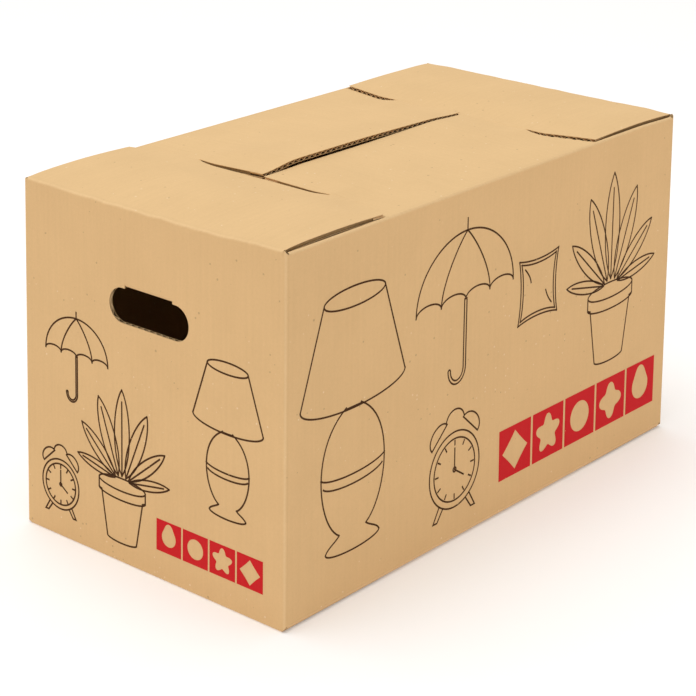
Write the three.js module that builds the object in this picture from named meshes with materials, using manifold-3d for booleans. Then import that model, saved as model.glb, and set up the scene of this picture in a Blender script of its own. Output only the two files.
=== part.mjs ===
// Moving carton for books: one die-cut sheet of corrugated board with a tape-free woven lid and base.
// Millimetres, +Z up, X along the long side, origin on the floor under the middle of the carton.

import * as THREE from 'three';
import { mergeVertices } from 'three/addons/utils/BufferGeometryUtils.js';
import Module from 'manifold-3d';

const wasm = await Module();
wasm.setup();

// Outside size over the walls, and height over the creases of the two short walls
const LENGTH = 600;
const WIDTH = 330;
const CREASE_HEIGHT = 345;

// The board and its folds
const BOARD = 4;
const BEND_INSIDE_RADIUS = 1.2;
const CORNER_INSIDE_RADIUS = 2;
const LAYER_GAP = 0.4;
const SLIT = 1;

// Flaps leave the walls from slits that start this far below the crease
const SLIT_DEPTH = 20;

// End flaps, on the short walls: two full-width corners on top and a middle tongue tucked under
const END_FLAP_DEPTH = 150;
const END_FLAP_SIDE_DEPTH = 132;
const END_TONGUE_LENGTH = 48;
const END_TONGUE_TIP_TAPER = 10;
const TONGUE_DIP = 2.6;
const TONGUE_SLOPE = 0.05;
const DIP_RUN = 60;

// Side flaps, on the long walls: two low shoulders underneath and a middle part on top
const SIDE_SHOULDER_DEPTH = 57;
const CROSSING_STRIP = 50;
const FLATTEN_RUN = 90;
const MEETING_GAP = 2.4;

// The lid's middle stands over the crease height, and one free edge springs up more to one end
const LID_MIDDLE_RISE = 2;
const FREE_EDGE_LIFT = 3;
const FREE_EDGE_FADE_START = -40;

// The base lies flat under the load, a little inside its creases
const BASE_MIDDLE_RISE = -0.3;

// Grip holes in the short walls, and the tab that is pushed in and up at each
const GRIP_LENGTH = 100;
const GRIP_HEIGHT = 33;
const GRIP_CENTRE_HEIGHT = 250.5;
const GRIP_HINGE_WIDTH = 60;
const GRIP_HINGE_RISE = 2;
const TAB_FOLD_ANGLE = THREE.MathUtils.degToRad(168);
const TAB_TRIM = 1.2;

// How finely the curved stretches are divided
const BEND_STEPS = 4;
const FLAP_ROWS = 9;
const FLAP_COLUMNS = 14;
const CURVE_STEPS = 8;
const ROLL_SIDES = 16;

const BEND_RADIUS = BOARD + BEND_INSIDE_RADIUS;
const CORNER_RADIUS = BOARD + CORNER_INSIDE_RADIUS;
const LAYER_STEP = BOARD + LAYER_GAP;
const HALF_LENGTH = LENGTH / 2;
const HALF_WIDTH = WIDTH / 2;
const TONGUE_HALF_WIDTH = HALF_WIDTH - SIDE_SHOULDER_DEPTH - CROSSING_STRIP;
const GRIP_RADIUS = GRIP_HEIGHT / 2;
const GRIP_TOP = GRIP_CENTRE_HEIGHT + GRIP_RADIUS;
const FOLD_LINE_HEIGHT = GRIP_TOP + GRIP_HINGE_RISE + BOARD;
const LEFT = -1;
const RIGHT = 1;

const kraft = new THREE.MeshStandardMaterial({ color: 0xd9b27f, roughness: 0.9, metalness: 0 });

// Closed three.js geometry to a solid that can be joined and cut
function solid(geometry) {
  const bare = geometry.clone();
  bare.deleteAttribute('normal');
  bare.deleteAttribute('uv');
  const merged = mergeVertices(bare);
  return new wasm.Manifold(new wasm.Mesh({
    numProp: 3,
    vertProperties: new Float32Array(merged.attributes.position.array),
    triVerts: new Uint32Array(merged.index.array),
  }));
}

function geometryOf(body) {
  const mesh = body.getMesh();
  const geometry = new THREE.BufferGeometry();
  geometry.setAttribute('position', new THREE.BufferAttribute(mesh.vertProperties, mesh.numProp));
  geometry.setIndex(new THREE.BufferAttribute(mesh.triVerts, 1));
  return geometry;
}

function upright(shape, bottom, top) {
  const options = { depth: top - bottom, bevelEnabled: false, curveSegments: CURVE_STEPS };
  return new THREE.ExtrudeGeometry(shape, options).translate(0, 0, bottom);
}

function rectangle(lowX, lowY, highX, highY) {
  return new THREE.Shape([
    new THREE.Vector2(lowX, lowY),
    new THREE.Vector2(highX, lowY),
    new THREE.Vector2(highX, highY),
    new THREE.Vector2(lowX, highY),
  ]);
}

// Rectangle with round corners, centred on the origin
function roundedRectangle(halfX, halfY, radius) {
  const shape = new THREE.Shape();
  shape.absarc(halfX - radius, halfY - radius, radius, 0, Math.PI / 2);
  shape.absarc(radius - halfX, halfY - radius, radius, Math.PI / 2, Math.PI);
  shape.absarc(radius - halfX, radius - halfY, radius, Math.PI, 1.5 * Math.PI);
  shape.absarc(halfX - radius, radius - halfY, radius, 1.5 * Math.PI, 2 * Math.PI);
  return shape;
}

// Sheet that leaves the -X wall upwards, turns over its crease and lies level: a box whose rows are bent.
// rise is how far its outer face lies over its crease, at a depth from the wall and off its middle line.
function bentSheet({ outward, creaseTop, reach, halfSpan, rise }) {
  const rows = 1 + BEND_STEPS + FLAP_ROWS;
  const sheet = new THREE.BoxGeometry(1, 1, 1, rows, FLAP_COLUMNS, 1);
  const position = sheet.attributes.position;
  for (let index = 0; index < position.count; index += 1) {
    const row = Math.round((position.getX(index) + 0.5) * rows);
    const across = 2 * position.getY(index) * halfSpan;
    const inset = position.getZ(index) > 0 ? 0 : BOARD;
    const angle = Math.min(Math.max(row - 1, 0), BEND_STEPS) / BEND_STEPS * Math.PI / 2;
    const run = Math.max(row - 1 - BEND_STEPS, 0) / FLAP_ROWS * (reach - BEND_RADIUS);
    const lying = row > BEND_STEPS ? rise(BEND_RADIUS + run, across) : 0;
    const radius = BEND_RADIUS - inset;
    const depth = BEND_RADIUS - radius * Math.cos(angle) + run;
    const height = creaseTop - BEND_RADIUS + radius * Math.sin(angle) + lying;
    position.setXYZ(index, depth - outward, across, row === 0 ? CREASE_HEIGHT - SLIT_DEPTH : height);
  }
  return sheet;
}

// An end flap's tongue dips under the side flaps, and its corners stay level
function endFlapRise(depth, across, middleRise) {
  const dip = TONGUE_DIP + LID_MIDDLE_RISE - middleRise;
  const bowed = dip * THREE.MathUtils.smoothstep(depth, END_FLAP_DEPTH - DIP_RUN, END_FLAP_DEPTH);
  const sloped = TONGUE_SLOPE * Math.max(depth - END_FLAP_DEPTH, 0);
  const strip = TONGUE_HALF_WIDTH + CROSSING_STRIP;
  const corner = THREE.MathUtils.smoothstep(Math.abs(across), TONGUE_HALF_WIDTH, strip);
  return -(1 - corner) * (bowed + sloped);
}

// A side flap's shoulders stay low, and its middle rises over the tongues
function sideFlapRise(depth, along, middleRise, freeEdgeLift) {
  const total = LAYER_STEP + middleRise;
  const strip = SIDE_SHOULDER_DEPTH + CROSSING_STRIP;
  const bent = total * THREE.MathUtils.smoothstep(depth, SIDE_SHOULDER_DEPTH, strip);
  const straight = total * (depth - BEND_RADIUS) / (HALF_WIDTH - BEND_RADIUS);
  const fromCrossing = HALF_LENGTH - END_FLAP_DEPTH - Math.abs(along);
  const even = THREE.MathUtils.smoothstep(fromCrossing, 0, FLATTEN_RUN);
  const fade = THREE.MathUtils.smoothstep(along, FREE_EDGE_FADE_START, HALF_LENGTH - END_FLAP_DEPTH);
  const lifted = THREE.MathUtils.smoothstep(depth, SIDE_SHOULDER_DEPTH, HALF_WIDTH);
  return THREE.MathUtils.lerp(bent, straight, even) + freeEdgeLift * lifted * even * (1 - fade);
}

// What the die takes off an end flap beside its tongue, on one side
function endFlapWaste(side) {
  const reach = END_FLAP_DEPTH + END_TONGUE_LENGTH;
  const tip = TONGUE_HALF_WIDTH - END_TONGUE_TIP_TAPER;
  const outline = new THREE.Shape([
    new THREE.Vector2(END_FLAP_DEPTH - HALF_LENGTH, side * TONGUE_HALF_WIDTH),
    new THREE.Vector2(END_FLAP_DEPTH - HALF_LENGTH, side * (TONGUE_HALF_WIDTH + CROSSING_STRIP)),
    new THREE.Vector2(END_FLAP_SIDE_DEPTH - HALF_LENGTH, side * HALF_WIDTH),
    new THREE.Vector2(reach + SLIT - HALF_LENGTH, side * HALF_WIDTH),
    new THREE.Vector2(reach + SLIT - HALF_LENGTH, side * tip),
    new THREE.Vector2(reach - HALF_LENGTH, side * tip),
  ]);
  return upright(outline, CREASE_HEIGHT - SLIT_DEPTH, CREASE_HEIGHT + SLIT_DEPTH);
}

// What the die takes off a side flap beyond its middle part, on one side
function sideFlapWaste(side) {
  const near = side * (HALF_LENGTH - END_FLAP_DEPTH - SLIT / 2);
  const far = side * HALF_LENGTH;
  const low = Math.min(near, far);
  const high = Math.max(near, far);
  const outline = rectangle(SIDE_SHOULDER_DEPTH - HALF_WIDTH, low, 0, high);
  return upright(outline, CREASE_HEIGHT - SLIT_DEPTH, CREASE_HEIGHT + SLIT_DEPTH);
}

function endFlap(middleRise) {
  const sheet = solid(bentSheet({
    outward: HALF_LENGTH,
    creaseTop: CREASE_HEIGHT,
    reach: END_FLAP_DEPTH + END_TONGUE_LENGTH,
    halfSpan: HALF_WIDTH - CORNER_RADIUS - SLIT / 2,
    rise: (depth, across) => endFlapRise(depth, across, middleRise),
  }));
  return geometryOf(sheet.subtract(solid(endFlapWaste(LEFT))).subtract(solid(endFlapWaste(RIGHT))));
}

function sideFlap(middleRise, freeEdgeLift) {
  const sheet = solid(bentSheet({
    outward: HALF_WIDTH,
    creaseTop: CREASE_HEIGHT - LAYER_STEP,
    reach: HALF_WIDTH - MEETING_GAP / 2,
    halfSpan: HALF_LENGTH - CORNER_RADIUS - SLIT / 2,
    rise: (depth, along) => sideFlapRise(depth, along, middleRise, freeEdgeLift),
  }));
  return geometryOf(sheet.subtract(solid(sideFlapWaste(LEFT))).subtract(solid(sideFlapWaste(RIGHT))));
}

// The four flaps of one closure: each is made on the -X wall and turned to its own
function closure(middleRise, freeEdgeLift) {
  return [
    endFlap(middleRise),
    endFlap(middleRise).rotateZ(Math.PI),
    sideFlap(middleRise, 0).rotateZ(Math.PI / 2),
    sideFlap(middleRise, freeEdgeLift).rotateZ(-Math.PI / 2),
  ];
}

// Slot that frees a flap from the corners of the walls, over the width of its crease
function flapSlot(halfX, halfY) {
  const outline = rectangle(-halfX, -halfY, halfX, halfY);
  return solid(upright(outline, CREASE_HEIGHT - SLIT_DEPTH, CREASE_HEIGHT));
}

// The four walls as one tube, with its corners standing up between the slits
function walls() {
  const outer = roundedRectangle(HALF_LENGTH, HALF_WIDTH, CORNER_RADIUS);
  outer.holes.push(roundedRectangle(HALF_LENGTH - BOARD, HALF_WIDTH - BOARD, CORNER_INSIDE_RADIUS));
  const slots = [
    flapSlot(HALF_LENGTH, HALF_WIDTH - CORNER_RADIUS + SLIT / 2),
    flapSlot(HALF_LENGTH - CORNER_RADIUS + SLIT / 2, HALF_WIDTH),
  ];
  let tube = solid(upright(outer, LAYER_STEP, CREASE_HEIGHT - LAYER_STEP));
  for (const slot of slots) {
    tube = tube.subtract(slot).subtract(solid(overturned(geometryOf(slot))));
  }
  return tube;
}

// Turns a piece of the lid over to the same place in the base
function overturned(geometry) {
  return geometry.rotateX(Math.PI).translate(0, 0, CREASE_HEIGHT);
}

// Outline of a long round-ended hole, drawn along X and centred on the origin, with a hinge notch on top
function gripOutline(trim, hingeTop) {
  const radius = GRIP_RADIUS - trim;
  const straight = GRIP_LENGTH / 2 - GRIP_RADIUS;
  const hinge = GRIP_HINGE_WIDTH / 2;
  const shape = new THREE.Shape();
  shape.absarc(straight, 0, radius, -Math.PI / 2, Math.PI / 2);
  shape.lineTo(hinge, radius);
  shape.lineTo(hinge, hingeTop);
  shape.lineTo(-hinge, hingeTop);
  shape.lineTo(-hinge, radius);
  shape.absarc(-straight, 0, radius, Math.PI / 2, 1.5 * Math.PI);
  return shape;
}

function gripHole() {
  const outline = gripOutline(0, FOLD_LINE_HEIGHT - GRIP_CENTRE_HEIGHT);
  const cut = upright(outline, -BOARD, 2 * BOARD);
  cut.rotateX(Math.PI / 2).rotateZ(Math.PI / 2);
  return cut.translate(-HALF_LENGTH, 0, GRIP_CENTRE_HEIGHT);
}

// The tab swings on the wall's inner face, so its own face comes to lie along the wall
function gripTab() {
  const fold = FOLD_LINE_HEIGHT - GRIP_CENTRE_HEIGHT;
  const plate = upright(gripOutline(TAB_TRIM, fold), -BOARD, 0);
  plate.translate(0, -fold, 0).rotateX(Math.PI / 2).rotateZ(Math.PI / 2);
  plate.rotateY(-TAB_FOLD_ANGLE);
  return plate.translate(BOARD - HALF_LENGTH, 0, FOLD_LINE_HEIGHT);
}

// The board rolled round the fold line of a tab
function gripRoll() {
  const roll = new THREE.CylinderGeometry(BOARD, BOARD, GRIP_HINGE_WIDTH, ROLL_SIDES);
  return roll.translate(BOARD - HALF_LENGTH, 0, FOLD_LINE_HEIGHT);
}

function carton() {
  let body = walls();
  for (const turn of [0, Math.PI]) {
    body = body.subtract(solid(gripHole().rotateZ(turn)));
    body = body.add(solid(gripRoll().rotateZ(turn)));
    body = body.add(solid(gripTab().rotateZ(turn)));
  }
  for (const flap of closure(LID_MIDDLE_RISE, FREE_EDGE_LIFT)) {
    body = body.add(solid(flap));
  }
  for (const flap of closure(BASE_MIDDLE_RISE, 0)) {
    body = body.add(solid(overturned(flap)));
  }
  const mesh = new THREE.Mesh(geometryOf(body), kraft);
  mesh.name = 'carton';
  return mesh;
}

const box = new THREE.Group();
box.add(carton());
export default box;
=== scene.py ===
# %% [markdown]
# A carton for moving books: one sheet of corrugated board, cut by a die, folded up and closed at top
# and bottom by flaps that are woven into each other. This lesson rebuilds it as the maker would lay it
# out: the board's three layers first, then the walls, the flaps, the grip holes and the printing.
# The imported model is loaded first, because every size here is read from it or agrees with it.

# %% Load the frame
import math

import bmesh
import bpy
import numpy as np
from mathutils import Matrix, Vector


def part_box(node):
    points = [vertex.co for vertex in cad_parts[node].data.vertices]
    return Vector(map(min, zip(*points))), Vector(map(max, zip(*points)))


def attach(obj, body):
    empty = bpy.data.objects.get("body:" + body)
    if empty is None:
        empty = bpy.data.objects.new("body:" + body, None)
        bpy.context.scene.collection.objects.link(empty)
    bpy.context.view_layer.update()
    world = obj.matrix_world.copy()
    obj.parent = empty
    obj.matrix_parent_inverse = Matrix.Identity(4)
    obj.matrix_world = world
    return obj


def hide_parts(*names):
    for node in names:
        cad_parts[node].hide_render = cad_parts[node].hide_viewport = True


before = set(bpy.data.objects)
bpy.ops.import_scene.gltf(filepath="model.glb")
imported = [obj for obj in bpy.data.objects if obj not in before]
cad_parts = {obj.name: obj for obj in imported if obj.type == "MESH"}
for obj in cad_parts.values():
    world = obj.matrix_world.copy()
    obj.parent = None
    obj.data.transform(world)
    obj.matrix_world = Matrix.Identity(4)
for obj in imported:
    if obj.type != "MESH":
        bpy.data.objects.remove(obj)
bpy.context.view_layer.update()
low_corner, high_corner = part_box("carton")
print("carton solid, metres:", tuple(low_corner), tuple(high_corner))

# %% [markdown]
# A folding carton is described by few sizes: its length, width and height, the thickness of its board
# and the depth of its flaps. Length and width come from the frame. The rest are written here once, in
# metres, and every surface below is worked out from them. SKIN keeps the board a hair inside the packed
# solid, CRUSHED is its thickness on a bend, LAYER_STEP the height between two sheets that lie on each
# other, and SLIT the width of a die cut. An end flap is END_DEPTH deep in its middle and SIDE_DEPTHS at
# its sides, and the flaps pass each other over the width of a CROSSING, beside the SHOULDER. They could
# be read off the mesh, but named sizes explain it.

# %% Sizes of the carton and its board
MM = 0.001
SKIN = 0.1 * MM
HALF_LENGTH = high_corner[0] - SKIN
HALF_WIDTH = high_corner[1] - SKIN
CREASE_HEIGHT = 345 * MM
BOARD = 4 * MM
CRUSHED = 2.4 * MM
BEND_RADIUS = 2.7 * MM
CORNER_RADIUS = 2.8 * MM
CREASE_INSET = 5.2 * MM
LAYER_STEP = 4.4 * MM
SLIT = 0.2 * MM
SLIT_DEPTH = 5.8 * MM
FLUTE_PITCH = 7.8 * MM
SLIT_INSET = 4.2 * MM
END_SPAN = HALF_WIDTH - SLIT_INSET
SIDE_SPAN = HALF_LENGTH - SLIT_INSET
END_DEPTH = 150 * MM
SIDE_DEPTHS = {"left": 132 * MM, "right": 139 * MM}
SHOULDER = 57 * MM
CROSSING = 50 * MM
TONGUE_HALF = high_corner[1] - SHOULDER - CROSSING
LINER = 0.13
print("board", BOARD, "flutes across one side flap", round(2 * SIDE_SPAN / FLUTE_PITCH))

# %% [markdown]
# Board is never quite flat. The walls of a standing carton lean and draw in a little between their
# corners, the short walls' creases sag and ripple, a long wall's crease swells, one upright edge is
# squeezed in, and a flap's edge presses the board below it down. It could be sculpted by hand, but a
# few named amounts and a formula keep the layers apart exactly. The amounts come first.

# %% How far the board is out of true
WALL_BOW = 1.0 * MM
WALL_LEAN = 5 * MM
CREASE_SAG = 2.8 * MM
SAG_REACH = 55 * MM
SWELL = 2.4 * MM
SQUEEZE = 2.0 * MM
RIPPLE = 0.34 * MM
RIPPLE_REACH = 7 * MM
PRESS_FRONT = 2.7 * MM
PRESS_BACK = {"left": 1.4 * MM, "right": 2.1 * MM}
SLIT_FRONT = 2.2 * MM
SLIT_BACK = 2.5 * MM
print("metres: short walls sag by", CREASE_SAG, "and the front crease swells by", SWELL)

# %% [markdown]
# Where one flap lies over another, the lower board gives way, and the slit between them closes to
# nothing at its end. That could be left to a cloth simulation, but paper this stiff moves so little that
# smooth steps do it, and the same result comes out every time.

# %% Where the lid is pressed down
TONGUE_DIP = 4.6 * MM
SLIT_TAPER = 83 * MM
RAMP = 45 * MM
STEP_DOWN = 3 * MM
TIP_STARTS, TIP_FULL = 74 * MM, 106 * MM
OUTER_EDGE = 128 * MM
INNER_RAMP = 55 * MM


def smooth(value, start, end):
    """0 at start, 1 at end, held outside them, and a cubic step between."""
    share = np.clip((value - start) / (end - start), 0, 1)
    return share * share * (3 - 2 * share)


def slit_press(across, back):
    """What is taken off the height of a side flap's middle at its slits, so that they taper outwards."""
    stacked = LAYER_STEP + TONGUE_DIP
    step = stacked * (1 - smooth(across, TONGUE_HALF, TONGUE_HALF + CROSSING)) - LAYER_STEP
    wanted = (SLIT_FRONT + (SLIT_BACK - SLIT_FRONT) * back) * (1 - across / SLIT_TAPER)
    return np.maximum(step - np.maximum(wanted, 0), 0)


def pressed(x, y):
    """How far the lid is pressed down: a slow ramp up to each flap's edge and a quick one after it."""
    across, along = np.abs(y), np.abs(x)
    back = smooth(y, -1.2 * MM, 1.2 * MM)
    cut = np.clip((across - TONGUE_HALF - CROSSING) / (END_SPAN - TONGUE_HALF - CROSSING), 0, 1)
    side_depth = np.where(x < 0, SIDE_DEPTHS["left"], SIDE_DEPTHS["right"])
    slant = high_corner[0] - END_DEPTH + (END_DEPTH - side_depth) * cut
    before = 1 - smooth(along, slant + 1 * MM, slant + RAMP)
    after = smooth(along, slant - STEP_DOWN, slant - 0.5 * MM)
    tip = before * after * smooth(across, TIP_STARTS, TIP_FULL)
    beside = smooth(across, OUTER_EDGE, END_SPAN - 0.5 * MM) * smooth(along, slant - STEP_DOWN, slant)
    beside = beside * (1 - 0.3 * smooth(along, 240 * MM, 290 * MM))
    behind = np.where(x < 0, PRESS_BACK["left"], PRESS_BACK["right"])
    edge = np.maximum(tip, beside) * (PRESS_FRONT + (behind - PRESS_FRONT) * back)
    edge = edge * (1 - smooth(across, END_SPAN + 0.2 * MM, END_SPAN + 1.6 * MM))
    middle = high_corner[0] - END_DEPTH
    inner = smooth(along, middle - INNER_RAMP, middle - 1 * MM)
    inner = inner * (1 - smooth(along, middle, middle + STEP_DOWN))
    return edge + inner * slit_press(across, back)


slit_end = np.array([high_corner[0] - END_DEPTH]), np.array([TONGUE_HALF])
print("pressed at the end of a slit, mm:", (pressed(*slit_end) / MM).round(2))

# %% [markdown]
# One smooth field now moves every point of the carton by a small amount that depends only on where the
# point is. Layers that touch before the move touch after it, so no gap opens between a wall and its
# flap. Lattice and Simple Deform modifiers could lean the walls too, but not keep the lid's slits.

# %% The field that settles the board
END_BOW_DEPTH, SIDE_BOW_DEPTH = 60 * MM, 40 * MM
LONG_RIPPLE, SHORT_RIPPLE = 47 * MM, 29 * MM
SAG_STARTS = 60 * MM
PRESS_STARTS, PRESS_FULL = 14 * MM, 9 * MM


def settle(points):
    """Leans and bows the walls by cosine humps, and sags, ripples, swells and presses the lid."""
    x, y, z = points[..., 0], points[..., 1], points[..., 2]
    along_x = np.cos(np.pi * np.clip(x / HALF_LENGTH, -1, 1) / 2)
    along_y = np.cos(np.pi * np.clip(y / HALF_WIDTH, -1, 1) / 2)
    height = np.clip(z / CREASE_HEIGHT, 0, 1)
    upward = np.sin(np.pi * height)
    near_end = np.clip((np.abs(x) - HALF_LENGTH + END_BOW_DEPTH) / END_BOW_DEPTH, 0, 1)
    near_side = np.clip((np.abs(y) - HALF_WIDTH + SIDE_BOW_DEPTH) / SIDE_BOW_DEPTH, 0, 1)
    moved = points.copy()
    bow_x = np.sign(x) * WALL_BOW * along_y * upward * near_end
    bow_y = np.sign(y) * WALL_BOW * along_x * upward * near_side
    moved[..., 0] -= x / HALF_LENGTH * WALL_LEAN * height + bow_x
    moved[..., 1] -= y / HALF_WIDTH * WALL_LEAN * height + bow_y
    moved[..., 1] -= SQUEEZE * smooth(y, 30 * MM, HALF_WIDTH) * smooth(-x, 120 * MM, HALF_LENGTH)
    past = HALF_LENGTH - np.abs(x)
    top = smooth(z, CREASE_HEIGHT - SAG_STARTS, CREASE_HEIGHT)
    wave_y = np.sin(2 * np.pi * y / LONG_RIPPLE + 1) + 0.8 * np.sin(2 * np.pi * y / SHORT_RIPPLE + 2)
    ripple = RIPPLE * np.where(x < 0, 1, 0.4) * wave_y * along_y * np.exp(-(past / RIPPLE_REACH) ** 2)
    level = 1 - np.abs(np.clip(y / HALF_WIDTH, -1, 1)) ** 5
    sag = CREASE_SAG * np.where(x < 0, 1, 0.4) * level * np.exp(-(past / SAG_REACH) ** 2)
    swell = SWELL * smooth(-y, 60 * MM, HALF_WIDTH)
    swell = swell * (1 - 0.7 * smooth(x, 235 * MM, HALF_LENGTH))
    near_lid = smooth(z, CREASE_HEIGHT - PRESS_STARTS, CREASE_HEIGHT - PRESS_FULL)
    moved[..., 2] -= top * (sag + ripple - swell) + near_lid * pressed(x, y)
    return moved


lid_corner = np.array([[-HALF_LENGTH, -HALF_WIDTH, CREASE_HEIGHT]])
print("the near lid corner settles by, mm:", ((settle(lid_corner) - lid_corner) / MM).round(2))

# %% [markdown]
# Every layer of the board is a slab: an outer face and an inner face that share one grid, joined round
# their four sides. Built this way, each layer is a closed body whatever it bends round. A carton could
# also be one plane with Solidify, but then its cut edges could not show what lies between the papers.
# Each side of a slab is given one of the board's three finishes, or the painted shade of its hollows,
# by its number in their list.

# %% Slabs and pieces
# The third number paints shade: dark brown for the hollows inside the board, where only shadow falls.
PAPER, EDGE, PAINTED_SHADE, TORN_EDGE = range(4)


class Piece:
    """Collects slabs, and turns them into one object."""

    def __init__(self):
        self.points, self.faces, self.paint, self.sheet, self.wear_and_painted_light = [], [], [], [], []
        self.count = 0

    def slab(self, outer, inner, sheet=None, wear_and_painted_light=None, skin=PAPER, back=EDGE, rim=EDGE):
        """Two grids of points (rows, columns, 3) closed round their four sides."""
        rows, columns = outer.shape[:2]
        size = rows * columns
        index = np.arange(size).reshape(rows, columns) + self.count
        a, b, c, d = index[:-1, :-1], index[1:, :-1], index[1:, 1:], index[:-1, 1:]
        front = np.stack([a, b, c, d], -1).reshape(-1, 4)
        behind = (front + size)[:, ::-1]
        loop = np.concatenate([index[0, :-1], index[:-1, -1], index[-1, :0:-1], index[:0:-1, 0]])
        after = np.roll(loop, -1)
        sides = np.stack([loop, after, after + size, loop + size], -1)
        self.points += [outer.reshape(-1, 3), inner.reshape(-1, 3)]
        self.faces += [front, behind, sides]
        self.paint += [np.full(len(front), skin), np.full(len(behind), back), np.full(len(sides), rim)]
        flat = np.zeros((size, 2)) if sheet is None else sheet.reshape(-1, 2)
        fold_wear_and_light = np.zeros(size) if wear_and_painted_light is None else wear_and_painted_light.reshape(-1)
        self.sheet += [flat, flat]
        self.wear_and_painted_light += [fold_wear_and_light, fold_wear_and_light]
        self.count += 2 * size

    def finish(self, name, materials, body="root"):
        """Makes the mesh, its UVs from the sheet, and an attribute of fold rubbing and painted light."""
        points = settle(np.concatenate(self.points))
        faces = np.concatenate(self.faces)
        mesh = bpy.data.meshes.new(name)
        mesh.from_pydata(points, [], faces.tolist())
        for material in materials:
            mesh.materials.append(material)
        mesh.polygons.foreach_set("material_index", np.concatenate(self.paint).astype(np.int32))
        uv = mesh.uv_layers.new(name="sheet")
        uv.data.foreach_set("uv", np.concatenate(self.sheet)[faces.reshape(-1)].reshape(-1))
        wear_and_painted_light = mesh.attributes.new("wear_and_painted_light", "FLOAT", "POINT")
        wear_and_painted_light.data.foreach_set("value", np.concatenate(self.wear_and_painted_light))
        shell = bmesh.new()
        shell.from_mesh(mesh)
        bmesh.ops.recalc_face_normals(shell, faces=shell.faces)
        shell.to_mesh(mesh)
        shell.free()
        mesh.shade_smooth()
        mesh.set_sharp_from_angle(angle=math.radians(35))
        piece = bpy.data.objects.new(name, mesh)
        bpy.context.scene.collection.objects.link(piece)
        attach(piece, body)
        print(name, len(faces), "faces")
        return piece


# %% [markdown]
# Corrugated board is two flat papers, the liners, glued to a wavy one, the medium. A plain cut shows
# all three. Most of the sheet needs no medium, since nobody can see it, so each sheet here has liners
# all over, a plain core inside, and real waves only along the edges that the die leaves open.

# %% Board between two liners
FLUTED = 16 * MM
CORE_INSET = 0.9 * MM
MEDIUM = 0.09
POINTS_PER_FLUTE = 10


def board(piece, surface, rows, columns, wear_and_painted_light=None, core_rows=None, inset=0.0):
    """Fills a surface(row, column, w) with an outer liner, an inner liner and a core between them."""
    row, column = np.meshgrid(rows, columns, indexing="ij")
    sheet = np.stack([column, row], -1)
    fold_wear_and_light = np.zeros_like(row) if wear_and_painted_light is None else wear_and_painted_light(row, column)
    outside, inside = surface(row, column, 0.0), surface(row, column, 1.0)
    piece.slab(outside, surface(row, column, LINER), sheet, fold_wear_and_light)
    # The inner liner's face towards the flutes is painted dark brown as shade.
    piece.slab(surface(row, column, 1 - LINER), inside, sheet, fold_wear_and_light, skin=PAINTED_SHADE, back=PAPER)
    if core_rows is not None:
        held = np.clip(columns, columns[0] + inset, columns[-1] - inset)
        row, column = np.meshgrid(core_rows, held, indexing="ij")
    # The core is painted dark brown as the shade between the flutes, except its torn rim.
    piece.slab(surface(row, column, LINER), surface(row, column, 1 - LINER),
               skin=PAINTED_SHADE, back=PAINTED_SHADE, rim=TORN_EDGE)


def wave(along):
    """Middle of the medium, as a share of the board's thickness: one sine wave for each flute."""
    return 0.5 + (0.5 - LINER - MEDIUM / 2) * np.sin(2 * np.pi * along / FLUTE_PITCH)


def flutes(piece, surface, rows, start, end):
    """The wavy paper along an open edge, from start to end along it and over rows behind it."""
    count = int((end - start) / FLUTE_PITCH * POINTS_PER_FLUTE) + 2
    row, along = np.meshgrid(rows, np.linspace(start, end, count), indexing="ij")
    middle = wave(along)
    piece.slab(surface(row, along, middle - MEDIUM / 2), surface(row, along, middle + MEDIUM / 2),
               skin=EDGE, back=EDGE, rim=EDGE)


print("liners", round(LINER * BOARD / MM, 2), "mm thick, flutes", FLUTE_PITCH / MM, "mm apart")

# %% [markdown]
# Kraft board gets its look from its fibres: a warm brown with cloudy patches, fine grain, and specks of
# bark and bleached pulp from recycled stock. The flutes telegraph through the liner as faint stripes
# that follow the sheet round its folds, so they read the sheet's own UVs, while the clouds and specks
# read Object coordinates. The shared effects are shader node groups, built once and given values.

# %% Shader helpers
def socket(group, name, kind, way, value=None):
    """Adds one socket to a node group's interface."""
    made = group.interface.new_socket(name=name, in_out=way, socket_type=kind)
    if value is not None:
        made.default_value = value
    return made


def node(tree, kind, values=None, **settings):
    """Adds a node, sets its properties, and fills its input sockets by name or number."""
    made = tree.nodes.new(kind)
    for key, value in settings.items():
        setattr(made, key, value)
    for key, value in (values or {}).items():
        if isinstance(value, bpy.types.NodeSocket):
            tree.links.new(value, made.inputs[key])
        else:
            made.inputs[key].default_value = value
    return made


def maths(tree, operation, first, second=None, third=None, clamp=False):
    """A Math node's result from sockets or numbers."""
    given = {i: v for i, v in enumerate((first, second, third)) if v is not None}
    return node(tree, "ShaderNodeMath", given, operation=operation, use_clamp=clamp).outputs[0]


def blended(tree, amount, first, second, kind="MIX"):
    """A colour mix of two sockets or colours."""
    made = node(tree, "ShaderNodeMix", data_type="RGBA", blend_type=kind)
    for key, value in ((0, amount), (6, first), (7, second)):
        if isinstance(value, bpy.types.NodeSocket):
            tree.links.new(value, made.inputs[key])
        else:
            made.inputs[key].default_value = value
    return made.outputs[2]


def spread(tree, value, low, high, to_low=0.0, to_high=1.0):
    """Maps a range of values onto another, held at its ends."""
    return node(tree, "ShaderNodeMapRange", {0: value, 1: low, 2: high, 3: to_low, 4: to_high}).outputs[0]


def new_group(name):
    """An empty shader node group with its input and output nodes."""
    group = bpy.data.node_groups.new(name, "ShaderNodeTree")
    return group, group.nodes.new("NodeGroupInput"), group.nodes.new("NodeGroupOutput")


# %% [markdown]
# Recycled pulp leaves tiny dark and pale specks in the paper, far apart and of different sizes. A painted
# picture could hold them, but a Voronoi pattern never runs out or repeats: it cuts space into cells, and
# a few cells, drawn by their own random colour, get a round speck. The finishes and inks all use it.

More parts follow.
